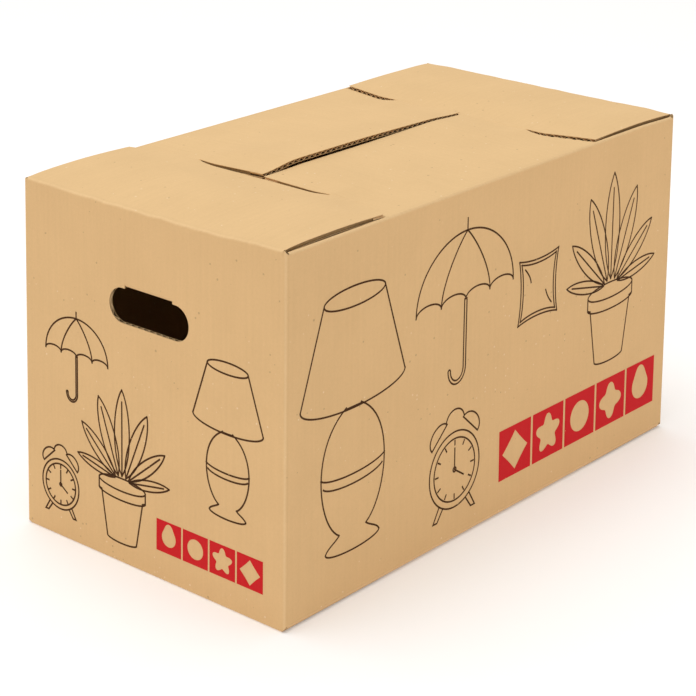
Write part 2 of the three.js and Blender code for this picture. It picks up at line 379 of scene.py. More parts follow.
# %% Specks of bark and bleached pulp
def speck_group():
    """Cells of a Voronoi pattern, of which a chosen share holds a small round speck."""
    group, given, result = new_group("paper_specks")
    socket(group, "Vector", "NodeSocketVector", "INPUT")
    socket(group, "Scale", "NodeSocketFloat", "INPUT", 200.0)
    socket(group, "Share", "NodeSocketFloat", "INPUT", 0.2)
    socket(group, "Size", "NodeSocketFloat", "INPUT", 0.15)
    socket(group, "Mask", "NodeSocketFloat", "OUTPUT")
    cells = node(group, "ShaderNodeTexVoronoi", {"Vector": given.outputs["Vector"],
                                                "Scale": given.outputs["Scale"]})
    drawn = node(group, "ShaderNodeSeparateColor", {0: cells.outputs["Color"]})
    chosen = maths(group, "LESS_THAN", drawn.outputs[0], given.outputs["Share"])
    size = maths(group, "MULTIPLY", given.outputs["Size"], drawn.outputs[1])
    inside = maths(group, "SUBTRACT", size, cells.outputs["Distance"])
    soft = spread(group, inside, 0.0, 0.05)
    group.links.new(maths(group, "MULTIPLY", soft, chosen), result.inputs["Mask"])
    return group


SPECKS = speck_group()
print(SPECKS.name, len(SPECKS.nodes), "nodes")

# %% [markdown]
# Seen close, the paper is a felt of fibres: cloudy over centimetres, grainy below a millimetre, and
# streaked along the way that the paper machine ran. The waved paper inside shows through as faint
# stripes. One value for shade and one for height hold all of it, so colour and bump always agree.

# %% Fibre, clouds and flute stripes
def fibre_group():
    """Sums a cloudy noise, a fine grain and the flute stripes into one light and dark value."""
    group, given, result = new_group("paper_fibre")
    socket(group, "Object", "NodeSocketVector", "INPUT")
    socket(group, "Sheet", "NodeSocketVector", "INPUT")
    socket(group, "Stripe", "NodeSocketFloat", "INPUT", 0.15)
    socket(group, "Shade", "NodeSocketFloat", "OUTPUT")
    socket(group, "Height", "NodeSocketFloat", "OUTPUT")
    cloud = node(group, "ShaderNodeTexNoise", {"Vector": given.outputs["Object"], "Scale": 14.0,
                                              "Detail": 4.0, "Roughness": 0.6})
    grain = node(group, "ShaderNodeTexNoise", {"Vector": given.outputs["Object"], "Scale": 420.0,
                                              "Detail": 3.0, "Roughness": 0.7})
    streak_at = node(group, "ShaderNodeMapping", {0: given.outputs["Sheet"], 3: (330.0, 9.0, 1.0)})
    streak = node(group, "ShaderNodeTexNoise", {"Vector": streak_at.outputs[0], "Scale": 1.0,
                                               "Detail": 2.0, "Roughness": 0.5})
    across = node(group, "ShaderNodeSeparateXYZ", {0: given.outputs["Sheet"]}).outputs[0]
    turn = maths(group, "MULTIPLY", across, 2 * math.pi / FLUTE_PITCH)
    ridge = maths(group, "SINE", turn)
    striped = maths(group, "MULTIPLY", ridge, given.outputs["Stripe"])
    clouded = maths(group, "SUBTRACT", cloud.outputs[0], 0.5)
    grained = maths(group, "MULTIPLY", maths(group, "SUBTRACT", grain.outputs[0], 0.5), 0.9)
    streaked = maths(group, "MULTIPLY", maths(group, "SUBTRACT", streak.outputs[0], 0.5), 0.55)
    total = maths(group, "ADD", maths(group, "ADD", clouded, grained), streaked)
    shade = maths(group, "ADD", total, maths(group, "MULTIPLY", striped, 0.4))
    height = maths(group, "ADD", maths(group, "MULTIPLY", total, 0.3), striped)
    group.links.new(shade, result.inputs["Shade"])
    group.links.new(height, result.inputs["Height"])
    return group


FIBRE = fibre_group()
print(FIBRE.name, len(FIBRE.nodes), "nodes")

# %% [markdown]
# Every finish and ink starts alike: a Principled shader with the fibres' bump, and specks laid over the
# colour. Each material could be built by itself, but then a change to one would be forgotten in the next,
# so two functions make what they share.

# %% What finishes and inks have in common
BARK = (0.16, 0.09, 0.04, 1)
BLEACHED = (0.95, 0.80, 0.58, 1)


def fibrous(name, stripe, rough, shine):
    """A material with the fibre group's bump, and the place and shade that its colour is made from."""
    material = bpy.data.materials.new(name)
    material.use_nodes = True
    tree = material.node_tree
    at = node(tree, "ShaderNodeTexCoord")
    fibre = node(tree, "ShaderNodeGroup", node_tree=FIBRE)
    tree.links.new(at.outputs["Object"], fibre.inputs["Object"])
    tree.links.new(at.outputs["UV"], fibre.inputs["Sheet"])
    fibre.inputs["Stripe"].default_value = stripe
    bump = node(tree, "ShaderNodeBump", {"Strength": 0.25, "Distance": 0.0004,
                                        "Height": fibre.outputs["Height"]})
    shader = tree.nodes["Principled BSDF"]
    shader.inputs["Roughness"].default_value = rough
    shader.inputs["Specular IOR Level"].default_value = shine
    tree.links.new(bump.outputs[0], shader.inputs["Normal"])
    return material, at.outputs["Object"], fibre.outputs["Shade"]


def specked(tree, place, colour, tint, strength, scale, size, share):
    """Lays specks of a tint over a colour, at less than full strength."""
    specks = node(tree, "ShaderNodeGroup", node_tree=SPECKS)
    tree.links.new(place, specks.inputs["Vector"])
    specks.inputs["Scale"].default_value = scale
    specks.inputs["Size"].default_value = size
    specks.inputs["Share"].default_value = share
    return blended(tree, maths(tree, "MULTIPLY", specks.outputs[0], strength), colour, tint)


print("specks are tinted", BARK[:3], "and", BLEACHED[:3])

# %% [markdown]
# One sheet of board shows three finishes and one painted shade: the liner's printed side, the cut edge
# with its bruised fibres, the hollows between the flutes, painted dark brown as their shadow, and the torn
# medium. They differ in colour, roughness, stripes and specks, so one function makes them all. A folded
# crease is painted paler, partly as rubbing and partly as a highlight, and its score line darker as shade.

# %% The board's finishes and painted shade
def kraft(name, light, dark, rough, stripe, rubbed_and_lit_colour, speck_share):
    """Two browns with specks and a fibre bump; folds painted pale as rubbing and highlight, dark as shade.
    """
    material, place, shade = fibrous(name, stripe, rough, 0.25)
    tree = material.node_tree
    colour = blended(tree, spread(tree, shade, -0.55, 0.55), (*dark, 1), (*light, 1))
    colour = specked(tree, place, colour, BARK, 0.32, 230.0, 0.30, speck_share)
    colour = specked(tree, place, colour, BLEACHED, 0.32, 310.0, 0.34, speck_share)
    # Fold marks: painted paler as rubbing and highlight, and darker along the score as shade.
    fold_wear_and_light = node(tree, "ShaderNodeAttribute", attribute_name="wear_and_painted_light").outputs["Fac"]
    patchy = spread(tree, shade, -0.5, 0.3, 0.5, 1.0)
    rubbed_and_lit = maths(tree, "MULTIPLY", maths(tree, "MAXIMUM", fold_wear_and_light, 0.0), patchy)
    scored_shade = maths(tree, "MAXIMUM", maths(tree, "MULTIPLY", fold_wear_and_light, -1.0), 0.0)
    colour = blended(tree, rubbed_and_lit, colour, (*rubbed_and_lit_colour, 1))
    colour = blended(tree, scored_shade, colour, (*[0.55 * part for part in dark], 1))
    tree.links.new(colour, tree.nodes["Principled BSDF"].inputs["Base Color"])
    return material


KRAFT = kraft("kraft_liner", (0.745, 0.492, 0.238), (0.657, 0.430, 0.204), 0.82, 0.05,
              (0.90, 0.66, 0.38), 0.04)
CUT = kraft("cut_edge", (0.800, 0.560, 0.300), (0.640, 0.435, 0.215), 0.95, 0.0,
            (0.60, 0.40, 0.20), 0.0)
# This dark brown is painted shade, for the shadow in the hollows between the flutes.
FLUTE_SHADE = kraft("painted_shade_flutes", (0.200, 0.120, 0.050), (0.110, 0.064, 0.026), 0.95, 0.0,
             (0.60, 0.40, 0.20), 0.0)
TORN = kraft("torn_flute", (0.440, 0.285, 0.125), (0.150, 0.092, 0.038), 0.95, 0.0,
             (0.60, 0.40, 0.20), 0.0)
FINISHES_AND_SHADE = (KRAFT, CUT, FLUTE_SHADE, TORN)
print("finishes:", [finish.name for finish in FINISHES_AND_SHADE])

# %% [markdown]
# A grip hole is a slot with round ends, wide enough for four fingers. The die leaves its top uncut, so
# the tab can fold in there, and nicks the board at both ends of the fold line. The outline is a closed
# path of arcs and short lines. It could be drawn as a curve, but as points it can shape a grid directly.

# %% Grip hole outline
GRIP_LENGTH = 100 * MM
GRIP_RADIUS = 16.5 * MM
GRIP_CENTRE = 250.5 * MM
HINGE_HALF = 30 * MM
FOLD_RISE = GRIP_RADIUS + 5.0 * MM
TAB_FOLD = math.radians(168)
TAB_TRIM = 1.2 * MM
OUTLINE_POINTS = 400


def grip_outline(count):
    """Evenly spaced points on a round-ended slot with a notch on top, as (across, up)."""
    straight = GRIP_LENGTH / 2 - GRIP_RADIUS
    turn = np.linspace(-np.pi / 2, np.pi / 2, 60)
    right = np.stack([straight + GRIP_RADIUS * np.cos(turn), GRIP_RADIUS * np.sin(turn)], -1)
    notch = np.array([[HINGE_HALF, GRIP_RADIUS], [HINGE_HALF, FOLD_RISE],
                      [-HINGE_HALF, FOLD_RISE], [-HINGE_HALF, GRIP_RADIUS]])
    left = np.stack([-right[:, 0], right[:, 1]], -1)[::-1]
    path = np.concatenate([right, notch, left, right[:1]])
    length = np.concatenate([[0], np.cumsum(np.hypot(*np.diff(path, axis=0).T))])
    spot = np.linspace(0, length[-1], count)
    spot[np.abs(spot[:, None] - length[60:64]).argmin(0)] = length[60:64]
    return np.stack([np.interp(spot, length, path[:, 0]), np.interp(spot, length, path[:, 1])], -1)


def border_points(outline, half, low, high):
    """Where rays from the hole's middle through its outline meet the wall's border."""
    across, up = outline.T
    reach_side = half / np.maximum(np.abs(across), 1e-9)
    reach_up = np.where(up > 0, high, low) / np.where(np.abs(up) < 1e-9, 1e-9, up)
    reach = np.minimum(reach_side, np.abs(reach_up))
    border = outline * reach[:, None]
    for corner in ((half, high), (-half, high), (-half, low), (half, low)):
        nearest = np.hypot(*(border - corner).T).argmin()
        border[nearest] = corner
    border[-1] = border[0]
    return border


print("grip hole", GRIP_LENGTH / MM, "by", 2 * GRIP_RADIUS / MM, "mm")

# %% [markdown]
# Each wall is flat board between two creases. The two short walls carry the grip holes, so their grid
# is laid round the hole: one parameter runs along the hole's outline and the other from the hole out to
# the wall's border. A boolean cut would do it too, but this grid keeps clean faces right up to the edge.
# The rows lie close together round the hole, where the light catches the cut.

# %% Short walls with their grip holes
CUT_RING = 14 * MM


def end_wall(side):
    """One short wall: rows go from the hole to the border, columns go round the hole."""
    piece = Piece()
    outline = grip_outline(OUTLINE_POINTS)
    foot = BEND_RADIUS - GRIP_CENTRE
    head = CREASE_HEIGHT - BEND_RADIUS - GRIP_CENTRE
    border = border_points(outline, END_SPAN, foot, head)
    reach = np.hypot(*(border - outline).T)[:, None]
    ring = np.concatenate([np.linspace(0, CUT_RING, 18), CUT_RING + np.linspace(0, 1, 20)[1:] ** 1.3])
    near = ring <= CUT_RING

    def spot(index, column, w):
        """A row's share of the way from the hole to the border: in millimetres first, then in shares."""
        share = np.where(near[index], ring[index] / reach[column, 0],
                         CUT_RING / reach[column, 0]
                         + (ring[index] - CUT_RING) * (1 - CUT_RING / reach[column, 0]))
        flat = outline[column] + (border[column] - outline[column]) * share[..., None]
        depth = side * (HALF_LENGTH - w * BOARD)
        return np.stack([np.broadcast_to(depth, share.shape), flat[..., 0], flat[..., 1] + GRIP_CENTRE], -1)

    def fill(rows, first, second, skin, back, rim):
        """One layer of the wall, between two depths."""
        index, column = np.meshgrid(rows, np.arange(OUTLINE_POINTS), indexing="ij")
        outer, inner = spot(index, column, first), spot(index, column, second)
        piece.slab(outer, inner, outer[..., 1:], None, skin, back, rim)

    every = np.arange(len(ring))
    # Inside the board, the liners' faces and the core are painted dark brown as shade.
    fill(every, 0.0, LINER, PAPER, PAINTED_SHADE, PAPER)
    fill(every, 1 - LINER, 1.0, PAINTED_SHADE, PAPER, PAPER)
    fill(every[12::4], LINER, 1 - LINER, PAINTED_SHADE, PAINTED_SHADE, PAINTED_SHADE)
    index, column = np.meshgrid(every[:14], np.arange(OUTLINE_POINTS), indexing="ij")
    middle = wave(spot(index, column, 0.0)[..., 1])
    piece.slab(spot(index, column, middle - MEDIUM / 2), spot(index, column, middle + MEDIUM / 2),
               skin=EDGE, back=EDGE, rim=EDGE)
    return piece.finish("end_wall_left" if side < 0 else "end_wall_right", FINISHES_AND_SHADE)


end_walls = [end_wall(side) for side in (-1, 1)]

# %% [markdown]
# The tab that the die leaves in each hole is pushed in with the fingers. The board rolls round the fold
# line at the top of the hole and the tab comes to lie against the inside of the wall, which gives the
# hand a smooth edge. Its surface is a profile, an arc and then a straight line, carried across the tab.

# %% Rolled grip edge and its tab
def tab_half_width(reach):
    """Half the tab's width at a distance from its fold line: a neck, then the slot's round end."""
    radius = GRIP_RADIUS - TAB_TRIM
    off = np.clip(np.abs(reach - FOLD_RISE), 0, radius)
    wide = GRIP_LENGTH / 2 - GRIP_RADIUS + np.sqrt(radius ** 2 - off ** 2)
    return np.where(reach < FOLD_RISE - radius, HINGE_HALF, wide)


def grip_tab(side):
    """An arc of the board's own thickness round the fold line, then the flat tab."""
    piece = Piece()
    rolled = np.linspace(0, 1, 14)
    tab_end = FOLD_RISE + GRIP_RADIUS - TAB_TRIM

    def surface(row, share, w):
        """Rows 0 to 1 turn round the fold line, and rows 1 to 2 run down the tab."""
        turned = TAB_FOLD * np.clip(row, 0, 1)
        reach = np.clip(row - 1, 0, 1) * tab_end
        radius = BOARD * (1 - 0.93 * w)
        across = share * tab_half_width(reach)
        inward = -radius * np.cos(turned) + reach * np.sin(TAB_FOLD)
        upward = -radius * np.sin(turned) - reach * np.cos(TAB_FOLD)
        depth = side * (HALF_LENGTH - BOARD - inward)
        return np.stack([depth, across, GRIP_CENTRE + FOLD_RISE + upward], -1)

    turn = np.linspace(0, np.pi / 2, 14)
    neck, widest = (FOLD_RISE - GRIP_RADIUS + TAB_TRIM) / tab_end, FOLD_RISE / tab_end
    rows = np.concatenate([rolled, [1 + neck - 0.004], 1 + neck + (widest - neck) * (1 - np.cos(turn)),
                           1 + widest + (1 - widest) * np.sin(turn[1:])])
    board(piece, surface, np.unique(np.round(rows, 4)), np.linspace(-1, 1, 40))
    return piece.finish("grip_tab_left" if side < 0 else "grip_tab_right", FINISHES_AND_SHADE)


grip_tabs = [grip_tab(side) for side in (-1, 1)]

# %% [markdown]
# The long walls are plain rectangles of board. A cube would do for a plain box, but the print, the lean
# and the bow need points between the corners, so each wall is a grid from crease to crease.

# %% Long walls
def side_wall(side):
    """One long wall: a rectangle of board between its two creases."""
    piece = Piece()

    def surface(row, column, w):
        """A flat sheet, at the share w of the board's thickness behind the wall's face."""
        return np.stack([column, np.broadcast_to(side * (HALF_WIDTH - w * BOARD), row.shape), row], -1)

    foot = LAYER_STEP + BEND_RADIUS
    rows = np.linspace(foot, CREASE_HEIGHT - foot, 40)
    board(piece, surface, rows, np.linspace(-SIDE_SPAN, SIDE_SPAN, 60))
    return piece.finish("side_wall_front" if side < 0 else "side_wall_back", FINISHES_AND_SHADE)


side_walls = [side_wall(side) for side in (-1, 1)]

# %% [markdown]
# The four upright edges are quarter rounds where the sheet was creased. The board is crushed on the bend,
# so it is thinner there. Between the creases of neighbouring flaps the die cuts a slit, so the top and
# bottom of each upright edge stand free. A Bevel modifier could round a corner, but would not thin it.
# The folds are painted pale, partly as rubbing and partly as a highlight, and faintly darker beside them
# as shade; an attribute tells the finish.

# %% Upright edges
QUARTER = CORNER_RADIUS * math.pi / 2
FLAT = SLIT_INSET - CORNER_RADIUS


def thickness(past):
    """The board is crushed on the bend and full again two millimetres past it."""
    return CRUSHED + (BOARD - CRUSHED) * smooth(past, 0, 2 * MM)


def upright_edge(side_x, side_y):
    """A quarter round with short flats, wide between the slits and narrow beside them."""
    piece = Piece()

    def surface(row, along, w):
        """A quarter round of the outer radius, less the share w of the board's thickness there."""
        angle = np.clip(along / CORNER_RADIUS, 0, math.pi / 2)
        flat_y = np.maximum(-along, 0)
        flat_x = np.maximum(along - QUARTER, 0)
        radius = CORNER_RADIUS - w * thickness(flat_x + flat_y)
        x = HALF_LENGTH - CORNER_RADIUS + radius * np.cos(angle) - flat_x
        y = HALF_WIDTH - CORNER_RADIUS + radius * np.sin(angle) - flat_y
        return np.stack([side_x * x, side_y * y, row + 0 * x], -1)

    def rubbed_and_lit(row, along):
        """Painted pale on the fold's turn as rubbing and highlight, faintly darker beside it as shade."""
        light = np.exp(-((along / QUARTER - 0.45) / 0.26) ** 2)
        scored_shade = np.exp(-((along - QUARTER - 0.2 * MM) / (0.8 * MM)) ** 2)
        return 0.36 * light - 0.08 * scored_shade

    bend = np.linspace(0, QUARTER, 13)
    wide = np.concatenate([np.linspace(-FLAT, 0, 5)[:-1], bend, QUARTER + np.linspace(0, FLAT, 5)[1:]])
    narrow = np.clip(wide, SLIT - FLAT, QUARTER + FLAT - SLIT)
    top = CREASE_HEIGHT - SLIT_DEPTH

    def slanted(row, along, w):
        """Past the slits' ends the edge is cut on a slant from one crease's height to the other's."""
        short = (LAYER_STEP - 0.6 * MM) * np.clip(along / QUARTER, 0, 1) + 1.8 * MM
        share = (SLIT_DEPTH - short) / SLIT_DEPTH
        above = top + (row - top) * share
        under = SLIT_DEPTH + (row - SLIT_DEPTH) * share
        return surface(np.where(row > top, above, np.where(row < SLIT_DEPTH, under, row)), along, w)

    board(piece, surface, np.linspace(SLIT_DEPTH, top, 60), wide, rubbed_and_lit)
    board(piece, slanted, np.linspace(top, CREASE_HEIGHT, 7), narrow, rubbed_and_lit)
    board(piece, slanted, np.linspace(0, SLIT_DEPTH, 7), narrow, rubbed_and_lit)
    ends = ("left" if side_x < 0 else "right", "front" if side_y < 0 else "back")
    return piece.finish("upright_edge_%s_%s" % ends, FINISHES_AND_SHADE)


upright_edges = [upright_edge(sx, sy) for sx in (-1, 1) for sy in (-1, 1)]

# %% [markdown]
# The lid needs no tape. Each end flap has two corners that lie on the side flaps' shoulders and a tongue
# that dips under the side flaps' middles, so all four hold each other down. A flap is one surface: it
# leaves the wall, turns a quarter round over the crease and lies out over the box, rising or dipping by
# a smooth step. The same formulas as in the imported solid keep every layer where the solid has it. LID and
# BASE hold what differs: how much further the layers rise, how far the end flaps arch, how far the side
# flaps' free edges lift, and how far the bead along a long crease swells.

# %% How high the flaps lie
LOCK_START = 60 * MM
TONGUE_SLOPE = 0.05
TONGUE_LENGTH = 48 * MM
TONGUE_TAPER = 10 * MM
STRAIGHTENS = 90 * MM
LIFT_GROWS = 45 * MM
LIFT_FADES = 30 * MM
LID = {"rise": 1.4 * MM, "bow": {"left": 2.6 * MM, "right": 1.3 * MM},
       "lift": {"front": -2.0 * MM, "back": 3.5 * MM}, "bead": 0.3 * MM}
BASE = {"rise": -0.3 * MM, "bow": {"left": 0.0, "right": 0.0},
        "lift": {"front": 0.0, "back": 0.0}, "bead": 2.2 * MM}


def end_rise(depth, across, closure, bow):
    """An end flap arches up past its crease, and its middle dips under the side flaps as the tongue."""
    share = np.clip((depth - CREASE_INSET) / (END_DEPTH - CREASE_INSET), 0, 1)
    arched = bow * np.sin(math.pi * share ** 0.8)
    dip = TONGUE_DIP - closure["rise"]
    bowed = dip * smooth(depth, END_DEPTH - LOCK_START, END_DEPTH)
    sloped = TONGUE_SLOPE * np.maximum(depth - END_DEPTH, 0)
    return arched - (1 - smooth(np.abs(across), TONGUE_HALF, TONGUE_HALF + CROSSING)) * (bowed + sloped)


def side_rise(depth, along, closure, lift):
    """A side flap is bent beside the crossings and straight between them, plus its lifted free edge."""
    total = LAYER_STEP + closure["rise"]
    bent = total * smooth(depth, SHOULDER, SHOULDER + CROSSING)
    straight = total * (depth - BEND_RADIUS) / (high_corner[1] - BEND_RADIUS)
    middle = high_corner[0] - END_DEPTH
    even = smooth(middle - np.abs(along), 0, STRAIGHTENS)
    grown = 0.3 + 0.7 * smooth(along, -middle, -middle + LIFT_GROWS)
    fade = 0.8 * smooth(along, -LIFT_FADES, middle)
    inside = smooth(middle - np.abs(along), -1 * MM, 0)
    lifted = lift * smooth(depth, SHOULDER, high_corner[1]) * grown * (1 - fade) * inside
    return bent + (straight - bent) * even + lifted


locked = end_rise(np.array([END_DEPTH]), np.array([0.0]), LID, LID["bow"]["left"])
print("the lid's tongue starts below its crease by, mm:", (-locked / MM).round(2))

# %% [markdown]
# Every flap hangs on a crease that the maker has pressed into the board, and bends there in a tight
# quarter round. Simple Deform could bend a flat sheet, but a formula lets one function serve all eight
# flaps: it bends the sheet over the front of its wall and then turns it to the wall that it belongs to.
# The base is the same sheet, turned over.

# %% A sheet over its crease
ARC = BEND_RADIUS * math.pi / 2
TURNS = {"left": 0, "front": 1, "right": 2, "back": 3}


def bent_sheet(wall, outward, crease_top, rise, below, bead=0.0):
    """Gives surface(row, across, w): row runs over a beaded quarter round and then inwards."""
    quarter = TURNS[wall] * math.pi / 2

    def surface(row, across, w):
        """A point at a distance over the crease, a place across the flap and a depth in the board."""
        angle = np.clip(row / BEND_RADIUS, 0, math.pi / 2)
        run = np.maximum(row - ARC, 0)
        radius = BEND_RADIUS - w * thickness(run)
        out = -outward + BEND_RADIUS - radius * np.cos(angle) + run
        depth = BEND_RADIUS + run
        lying = rise(depth, across) * (depth > CREASE_INSET)
        bulge = bead * np.exp(-((row - 0.8 * ARC) / (0.27 * ARC)) ** 2)
        up = crease_top - BEND_RADIUS + radius * np.sin(angle) + lying + bulge
        x = out * math.cos(quarter) - across * math.sin(quarter)
        y = out * math.sin(quarter) + across * math.cos(quarter)
        if below:
            return np.stack([x, -y, CREASE_HEIGHT - up], -1)
        return np.stack([x, y, up], -1)

    return surface


print("the bend over a crease is", round(ARC / MM, 2), "mm long")

# %% [markdown]
# A flap's grid needs many rows where it bends and few where it is flat, and the paper on the bend is
# painted paler, partly as rubbing by every box it has slid along and partly as a painted highlight. A
# Subdivision Surface would make the whole flap dense, so the rows are placed close over the crease, wider
# beyond it, and finer again at a step.

# %% Where the rows lie, and how the crease is painted pale and dark
def crease_wear_and_light(row, across):
    """Painted paler on the fold's turn, as rubbing and highlight, and a faint painted shade band below it.
    """
    light = np.exp(-((row - 0.5 * ARC) / (0.28 * ARC)) ** 2)
    scored_shade = np.exp(-((row - ARC - 1.2 * MM) / (1.5 * MM)) ** 2)
    return 0.26 * light - 0.05 * scored_shade


def rows_to(end, count):
    """Rows over the crease, then close together past it, then evenly out to the flap's depth."""
    past = np.concatenate([np.linspace(0, 6 * MM, 7)[1:], np.linspace(6 * MM, end - BEND_RADIUS, count)[1:]])
    return np.concatenate([np.linspace(0, ARC, 11), ARC + past])


def core_rows(rows):
    """Close rows over the crease, then every third one, up to the flutes of the open edge."""
    strip = rows[-1] - FLUTED
    far = rows[18::3]
    return np.concatenate([rows[:18], far[far < strip], [strip]])


def finer(points, marks, reach=4 * MM, count=9):
    """Adds points close to the marks, where the surface is stepped."""
    extra = [mark + np.linspace(-reach, reach, count) for mark in marks]
    inside = np.clip(np.concatenate(extra), points[0], points[-1])
    return np.unique(np.concatenate([points, inside]))


print("rows over an end flap:", len(rows_to(END_DEPTH, 60)))

# %% [markdown]
# An end flap is as wide as the carton. Its outer corners end on a slant, which lets it slip in and out,
# and its middle goes on as a tongue under the side flaps. A cutter object could shape the slant, but
# scaling the rows to the slanting edge keeps every row whole, so the flutes follow the cut.

# %% End flaps
def end_flap(wall, closure, below):
    """Two corners and a dipping middle, cut to a slanting edge, and the tongue beyond."""
    piece = Piece()
    bow = closure["bow"][wall]
    flat = bent_sheet(wall, HALF_LENGTH, CREASE_HEIGHT, lambda d, a: end_rise(d, a, closure, bow), below)

    def edge(across):
        """The flap's depth at a place across it: level in the middle and slanting at both sides."""
        past = np.abs(across) - TONGUE_HALF - CROSSING
        slant = np.clip(past / (END_SPAN - TONGUE_HALF - CROSSING), 0, 1)
        return END_DEPTH - (END_DEPTH - SIDE_DEPTHS[wall]) * slant

    def trimmed(row, across, w):
        """The bent sheet with its rows past the crease scaled to the slanting edge."""
        scale = (edge(across) - BEND_RADIUS) / (END_DEPTH - BEND_RADIUS)
        return flat(np.where(row > ARC, ARC + (row - ARC) * scale, row), across, w)

    notch = TONGUE_HALF + CROSSING
    across = np.unique(np.concatenate([np.linspace(-END_SPAN, END_SPAN, 101), [notch, -notch]]))
    rows = rows_to(END_DEPTH, 60)
    board(piece, trimmed, rows, across, crease_wear_and_light, core_rows(rows), CORE_INSET)
    flutes(piece, trimmed, np.linspace(rows[-1] - FLUTED, rows[-1], 4), -END_SPAN, END_SPAN)

    def tongue(row, share, w):
        """The sheet beyond the edge, narrower towards its tip."""
        half = TONGUE_HALF - TONGUE_TAPER * (row - rows[-1]) / TONGUE_LENGTH
        return flat(row, share * half, w)

    tip = np.linspace(rows[-1] - 0.2 * MM, rows[-1] + TONGUE_LENGTH, 14)
    board(piece, tongue, tip, np.linspace(-1, 1, 31))
    return piece.finish("%s_end_flap_%s" % ("base" if below else "lid", wall), FINISHES_AND_SHADE)


end_flaps = [end_flap(wall, closure, below) for closure, below in ((LID, False), (BASE, True))
             for wall in ("left", "right")]

# %% [markdown]
# A side flap is as long as the carton. The end flaps' corners lie on its low shoulders, and its middle
# reaches the centre line, where it meets its neighbour edge to edge. The die frees the middle from the
# shoulders with two slits. So it is made as three strips of one surface, not as one sheet with cuts.

# %% Side flaps
def side_flap(wall, closure, below):
    """Two shoulders that stay low and a middle that reaches the centre line of the box."""
    piece = Piece()
    lift, way = closure["lift"][wall], 1 if wall == "back" else -1
    flat = bent_sheet(wall, HALF_WIDTH, CREASE_HEIGHT - LAYER_STEP,
                      lambda d, a: side_rise(d, way * a, closure, lift), below, closure["bead"])
    middle = high_corner[0] - END_DEPTH - SLIT / 2
    slant = high_corner[0] - SIDE_DEPTHS["left"]
    for start, end in ((-SIDE_SPAN, -middle), (middle, SIDE_SPAN)):
        rows = rows_to(SHOULDER, 24)
        columns = finer(np.linspace(start, end, 60), (math.copysign(slant, start),))
        board(piece, flat, rows, columns, crease_wear_and_light, core_rows(rows), CORE_INSET)
        flutes(piece, flat, np.linspace(rows[-1] - FLUTED, rows[-1], 3), start, end)
    rows = rows_to(high_corner[1] - 1.2 * MM, 70)
    board(piece, flat, rows, np.linspace(-middle, middle, 121), crease_wear_and_light, core_rows(rows), CORE_INSET)
    flutes(piece, flat, np.linspace(rows[-1] - FLUTED, rows[-1], 6), -middle, middle)
    return piece.finish("%s_side_flap_%s" % ("base" if below else "lid", wall), FINISHES_AND_SHADE)


side_flaps = [side_flap(wall, closure, below) for closure, below in ((LID, False), (BASE, True))
              for wall in ("front", "back")]

# %% [markdown]
# A carton like this is printed flat, before it is folded, by rubber plates in two inks: thin brown
# outlines of household things, and red fields with plain shapes left out of them. Each outline is a
# path of arcs and smooth curves. The path is widened to the plate's line and laid on the wall as a thin
# film of ink, so it stays sharp at any distance. Inks this thin take up the fibre of the paper, so they
# read the same fibre group as the board does.

# %% Inks
PAPER_TINT = (0.70, 0.46, 0.22)


def ink(name, colour, thin):
    """Ink soaked into paper: its colour, broken up by the fibres and paler where the plate pressed less."""
    material, place, shade = fibrous(name, 0.06, 0.7, 0.12)
    tree = material.node_tree
    paler = tuple(part + thin * (bare - part) for part, bare in zip(colour, PAPER_TINT))
    mixed = blended(tree, spread(tree, shade, -0.5, 0.5), (*colour, 1), (*paler, 1))
    mixed = specked(tree, place, mixed, (*PAPER_TINT, 1), 0.6, 360.0, 0.3, 0.03)
    tree.links.new(mixed, tree.nodes["Principled BSDF"].inputs["Base Color"])
    return material


BROWN_INK = ink("brown_ink", (0.058, 0.020, 0.004), 0.04)
RED_INK = ink("red_ink", (0.575, 0.007, 0.014), 0.02)
print("inks:", BROWN_INK.name, RED_INK.name)

# %% [markdown]
# The plate's drawings are made of few kinds of stroke: parts of ellipses, straight lines and smooth
# curves. Blender's own curve objects could draw them, but plain arrays of points can be scaled, mirrored
# and widened at once. Every stroke is a path of points in the wall's plane, in millimetres.

# %% Strokes
def arc(centre, radii, start, end, count=40):
    """Part of an ellipse, from one angle to another in degrees."""
    turn = np.radians(np.linspace(start, end, count))
    return np.stack([centre[0] + radii[0] * np.cos(turn), centre[1] + radii[1] * np.sin(turn)], -1)


def line(*corners):
    """Straight lines through the corners."""
    return np.array(corners, float)


def curve(start, pull_start, pull_end, end, count=24):
    """A cubic curve that leaves and arrives along its two handles."""
    t = np.linspace(0, 1, count)[:, None]
    a, b, c, d = (np.array(point, float) for point in (start, pull_start, pull_end, end))
    return (1 - t) ** 3 * a + 3 * (1 - t) ** 2 * t * b + 3 * (1 - t) * t ** 2 * c + t ** 3 * d


def mirrored(stroke):
    """The same stroke on the other side of the motif's middle line."""
    return stroke * (-1, 1)


# %% [markdown]
# What goes into such a carton is drawn on it: things of the house, each in a few lines of one width.
# The first is a table lamp. Every motif is a list of strokes, measured in millimetres from the middle of
# its foot, so it can stand anywhere at any scale. Half of a lamp is drawn, and mirrored for the rest.

# %% A table lamp
def table_lamp():
    """A shade, a round vase for a body, and a foot."""
    side = line((-62, 130), (-36, 205))
    belly = curve((-9, 118), (-52, 96), (-40, 30), (-16, 16))
    foot = curve((-16, 16), (-20, 12), (-30, 10), (-32, 5))
    return [side, mirrored(side), arc((0, 205), (36, 8), 0, 360), arc((0, 130), (62, 14), 180, 360),
            line((-9, 118), (-9, 117), (9, 117), (9, 118)), belly, mirrored(belly), foot, mirrored(foot),
            arc((0, 5), (32, 6), 180, 360), arc((0, 62), (36, 8), 194, 346), arc((0, 70), (39, 8), 194, 346)]


print("lamp:", len(table_lamp()), "strokes")

# %% [markdown]
# An alarm clock is rings, marks and hands. The twelve marks are one short line, turned round the middle.
# Each bell is part of an ellipse, tilted by a rotation matrix and closed by a straight line.

